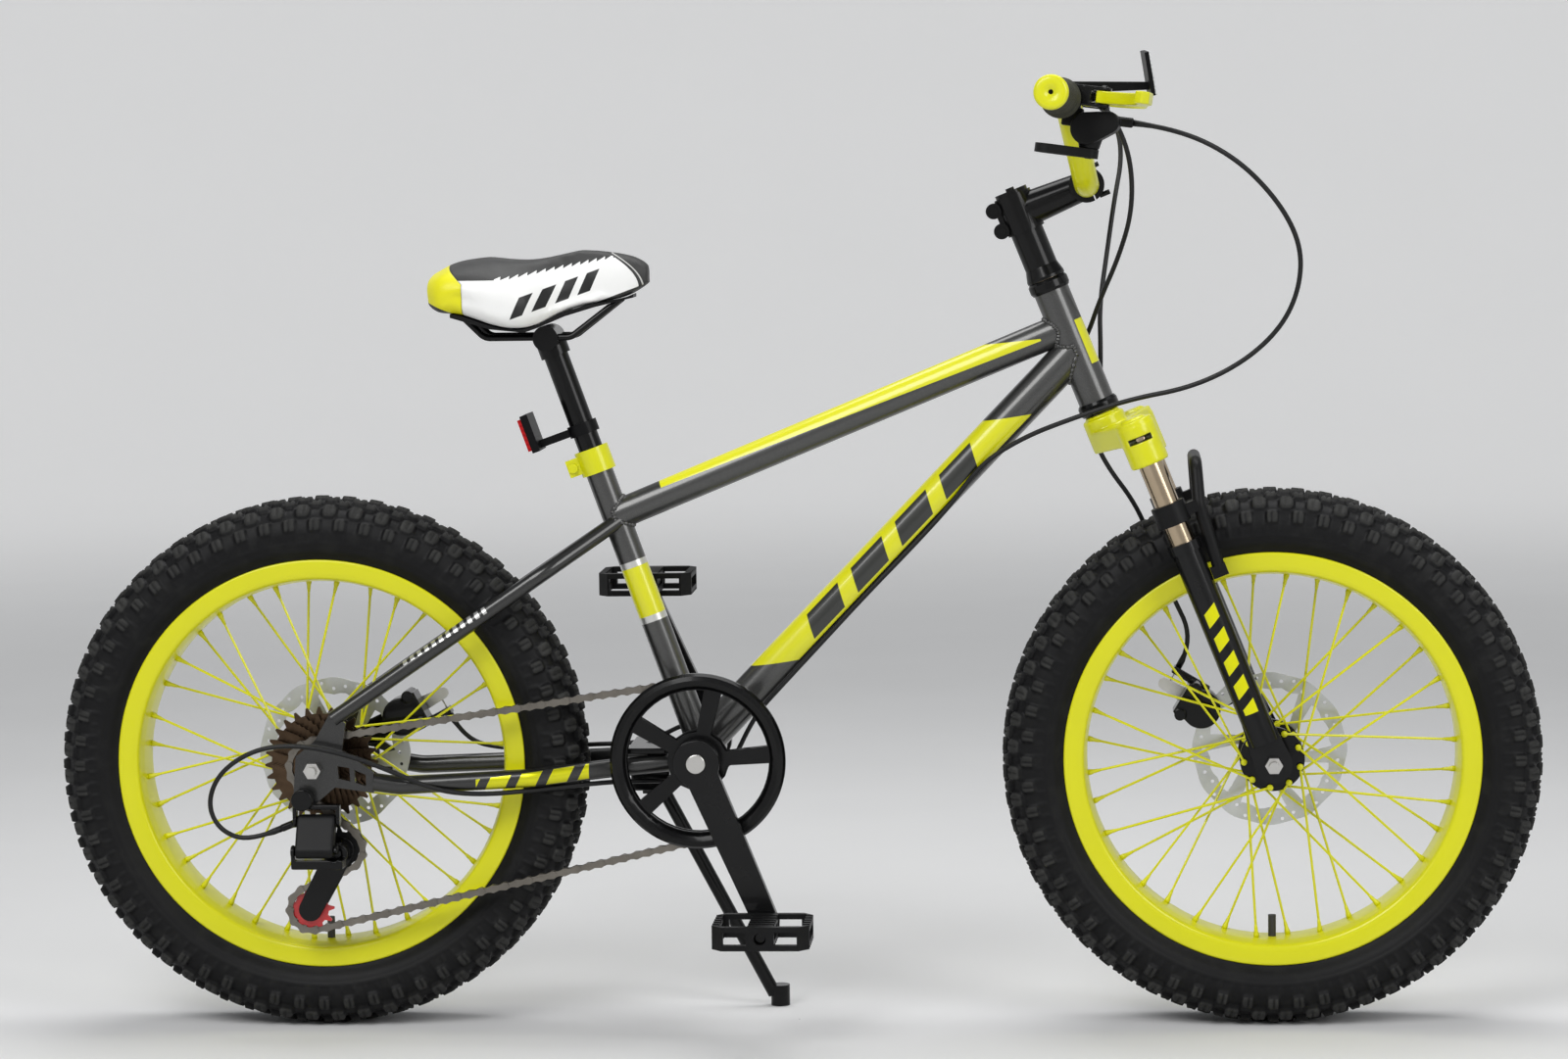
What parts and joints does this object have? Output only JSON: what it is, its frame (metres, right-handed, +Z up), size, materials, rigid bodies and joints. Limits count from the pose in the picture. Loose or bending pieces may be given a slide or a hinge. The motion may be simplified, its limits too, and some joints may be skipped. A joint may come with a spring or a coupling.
{
  "type": "bicycle",
  "caption": "Small fat tire bike with a gunmetal frame, bright yellow rims, spokes, fork crown and riser bar, disc brakes, rear derailleur and kickstand.",
  "frame": {"origin": "on the floor midway between the two wheel contacts, in the bike's middle plane", "axes": "+X forward, +Y to the rider's left, +Z up"},
  "size_m": [1.528, 0.5866, 0.9992],
  "materials": {
    "frame_paint": "dark gunmetal metallic paint under clear lacquer",
    "yellow_paint": "fluorescent yellow gloss enamel",
    "black_metal": "gloss black enamel",
    "bright_steel": "brushed steel",
    "chrome_steel": "bronze-tinted hard chrome",
    "chain_steel": "oiled grey-brown steel",
    "black_plastic": "moulded black plastic",
    "red_plastic": "moulded red plastic",
    "tire_rubber": "black tread rubber",
    "soft_rubber": "soft black rubber",
    "saddle_vinyl": "sewn vinyl cover, black with white and yellow panels",
    "cable_sheath": "black sheathed cable"
  },
  "bodies": {
    "frame": {"front_triangle": "frame_paint", "rear_triangle": "frame_paint", "seat_clamp": "yellow_paint", "bearing_cups": "black_metal", "rear_axle": "bright_steel", "kickstand_bracket": "black_metal", "derailleur_body": "black_metal", "rear_caliper": "black_metal", "chain": "chain_steel", "rear_brake_cable": "cable_sheath", "gear_cable": "cable_sheath"},
    "seatpost": {"seatpost": "black_metal", "saddle_rails": "black_metal", "saddle_shell": "black_plastic", "saddle_cover": "saddle_vinyl", "rear_reflector": "red_plastic"},
    "steering": {"fork_crown": "yellow_paint", "fork_upper_tubes": "chrome_steel", "fork_elastomers": "soft_rubber", "headset_spacers": "black_metal", "stem": "black_metal", "handlebar": "yellow_paint", "handlebar_grips": "soft_rubber", "brake_lever_brackets": "black_metal", "gear_shifter": "black_plastic", "front_reflector": "black_plastic", "front_brake_cable": "cable_sheath"},
    "fork_lower": {"fork_legs": "black_metal", "fork_arch": "black_plastic", "front_axle": "bright_steel", "front_caliper": "black_metal"},
    "front_wheel": {"front_tire": "tire_rubber", "front_inner_tube": "soft_rubber", "front_rim": "yellow_paint", "front_spokes": "yellow_paint", "front_hub": "black_metal", "front_disc": "bright_steel"},
    "rear_wheel": {"rear_tire": "tire_rubber", "rear_inner_tube": "soft_rubber", "rear_rim": "yellow_paint", "rear_spokes": "yellow_paint", "rear_hub": "black_metal", "rear_disc": "bright_steel"},
    "crank": {"crankset": "black_metal", "chainring": "black_metal", "chain_guard": "black_plastic"},
    "pedal_right": {"pedal_right": "black_plastic"},
    "pedal_left": {"pedal_left": "black_plastic"},
    "sprockets": {"sprocket_cluster": "chain_steel"},
    "guide_pulley": {"guide_pulley": "red_plastic"},
    "tension_pulley": {"tension_pulley": "red_plastic"},
    "brake_lever_right": {"brake_lever_right": "yellow_paint"},
    "brake_lever_left": {"brake_lever_left": "yellow_paint"},
    "front_caliper_arm": {"front_caliper_arm": "bright_steel"},
    "rear_caliper_arm": {"rear_caliper_arm": "bright_steel"},
    "shift_lever": {"shift_lever": "black_plastic"},
    "derailleur_link": {"derailleur_link": "black_metal"},
    "derailleur_knuckle": {"derailleur_knuckle": "black_metal"},
    "derailleur_cage": {"derailleur_cage": "black_metal"},
    "kickstand_leg": {"kickstand_leg": "black_metal"}
  },
  "joints": [
    {"name": "seatpost_slide", "type": "slide", "parent": "frame", "child": "seatpost", "axis": [-0.3338, 0, 0.9426], "range_m": [-0.01, 0.08]},
    {"name": "steering", "type": "hinge", "parent": "frame", "child": "steering", "pos_m": [0.46298, 0, 0.26465], "axis": [-0.3698, 0, 0.9291], "range_deg": [-45, 45], "deforming": ["rear_brake_cable", "gear_cable"]},
    {"name": "fork_travel", "type": "slide", "parent": "steering", "child": "fork_lower", "axis": [-0.3698, 0, 0.9291], "range_m": [0, 0.042], "stiffness_N_per_m": 15000, "springref_m": -0.02, "deforming": ["fork_elastomers", "front_brake_cable"]},
    {"name": "front_wheel", "type": "hinge", "parent": "fork_lower", "child": "front_wheel", "pos_m": [0.489, 0, 0.275], "axis": [0, 1, 0], "continuous": true},
    {"name": "rear_wheel", "type": "hinge", "parent": "frame", "child": "rear_wheel", "pos_m": [-0.489, 0, 0.275], "axis": [0, 1, 0], "continuous": true},
    {"name": "crank", "type": "hinge", "parent": "frame", "child": "crank", "pos_m": [-0.095, 0, 0.281], "axis": [0, 1, 0], "continuous": true, "deforming": ["chain"]},
    {"name": "pedal_right", "type": "hinge", "parent": "crank", "child": "pedal_right", "pos_m": [-0.02545, -0.139, 0.11715], "axis": [0, 1, 0], "continuous": true},
    {"name": "pedal_left", "type": "hinge", "parent": "crank", "child": "pedal_left", "pos_m": [-0.16455, 0.139, 0.44485], "axis": [0, 1, 0], "continuous": true},
    {"name": "sprockets", "type": "hinge", "parent": "frame", "child": "sprockets", "pos_m": [-0.489, 0, 0.275], "axis": [0, 1, 0], "continuous": true, "deforming": ["chain"]},
    {"name": "guide_pulley", "type": "hinge", "parent": "derailleur_cage", "child": "guide_pulley", "pos_m": [-0.465, -0.062, 0.19], "axis": [0, 1, 0], "continuous": true, "deforming": ["chain"]},
    {"name": "tension_pulley", "type": "hinge", "parent": "derailleur_cage", "child": "tension_pulley", "pos_m": [-0.498, -0.062, 0.128], "axis": [0, 1, 0], "continuous": true, "deforming": ["chain"]},
    {"name": "brake_lever_right", "type": "hinge", "parent": "steering", "child": "brake_lever_right", "pos_m": [0.32346, -0.17598, 0.94709], "axis": [-0.1391, -0.0395, -0.9895], "range_deg": [0, 25], "stiffness_Nm_per_rad": 1.2, "springref_deg": -5.73, "deforming": ["rear_brake_cable"]},
    {"name": "brake_lever_left", "type": "hinge", "parent": "steering", "child": "brake_lever_left", "pos_m": [0.32346, 0.17598, 0.94709], "axis": [0.1391, -0.0395, 0.9895], "range_deg": [0, 25], "stiffness_Nm_per_rad": 1.2, "springref_deg": -5.73, "deforming": ["front_brake_cable"]},
    {"name": "front_caliper_arm", "type": "hinge", "parent": "fork_lower", "child": "front_caliper_arm", "pos_m": [0.417, 0.0738, 0.31826], "axis": [0, 1, 0], "range_deg": [0, 10], "deforming": ["front_brake_cable"]},
    {"name": "rear_caliper_arm", "type": "hinge", "parent": "frame", "child": "rear_caliper_arm", "pos_m": [-0.41483, 0.0758, 0.31444], "axis": [0, 1, 0], "range_deg": [0, 10], "deforming": ["rear_brake_cable"]},
    {"name": "shift_lever", "type": "hinge", "parent": "steering", "child": "shift_lever", "pos_m": [0.30823, -0.15232, 0.89472], "axis": [-0.1391, -0.0395, -0.9895], "range_deg": [0, 35], "deforming": ["gear_cable"]},
    {"name": "derailleur_link", "type": "hinge", "parent": "frame", "child": "derailleur_link", "pos_m": [-0.485, -0.09, 0.224], "axis": [1, 0, 0], "range_deg": [0, 52], "deforming": ["gear_cable", "chain"]},
    {"name": "derailleur_knuckle", "type": "hinge", "parent": "derailleur_link", "child": "derailleur_knuckle", "pos_m": [-0.485, -0.107, 0.19456], "axis": [1, 0, 0], "range_deg": [-52, 0], "deforming": ["chain"]},
    {"name": "derailleur_cage", "type": "hinge", "parent": "derailleur_knuckle", "child": "derailleur_cage", "pos_m": [-0.465, -0.062, 0.19], "axis": [0, -1, 0], "range_deg": [0, 40], "stiffness_Nm_per_rad": 0.6, "springref_deg": -28.65, "deforming": ["chain"]},
    {"name": "kickstand_leg", "type": "hinge", "parent": "frame", "child": "kickstand_leg", "pos_m": [-0.15, 0.054, 0.246], "axis": [0, 1, 0], "range_deg": [0, 113]}
  ],
  "couplings": [
    {"joint": "sprockets", "follows": "crank", "ratio": 2.8571},
    {"joint": "guide_pulley", "follows": "crank", "ratio": -3.6364},
    {"joint": "tension_pulley", "follows": "crank", "ratio": 3.6364},
    {"joint": "front_caliper_arm", "follows": "brake_lever_left", "ratio": 0.4},
    {"joint": "rear_caliper_arm", "follows": "brake_lever_right", "ratio": 0.4},
    {"joint": "derailleur_link", "follows": "shift_lever", "ratio": 1.4857},
    {"joint": "derailleur_knuckle", "follows": "shift_lever", "ratio": -1.4857}
  ]
}
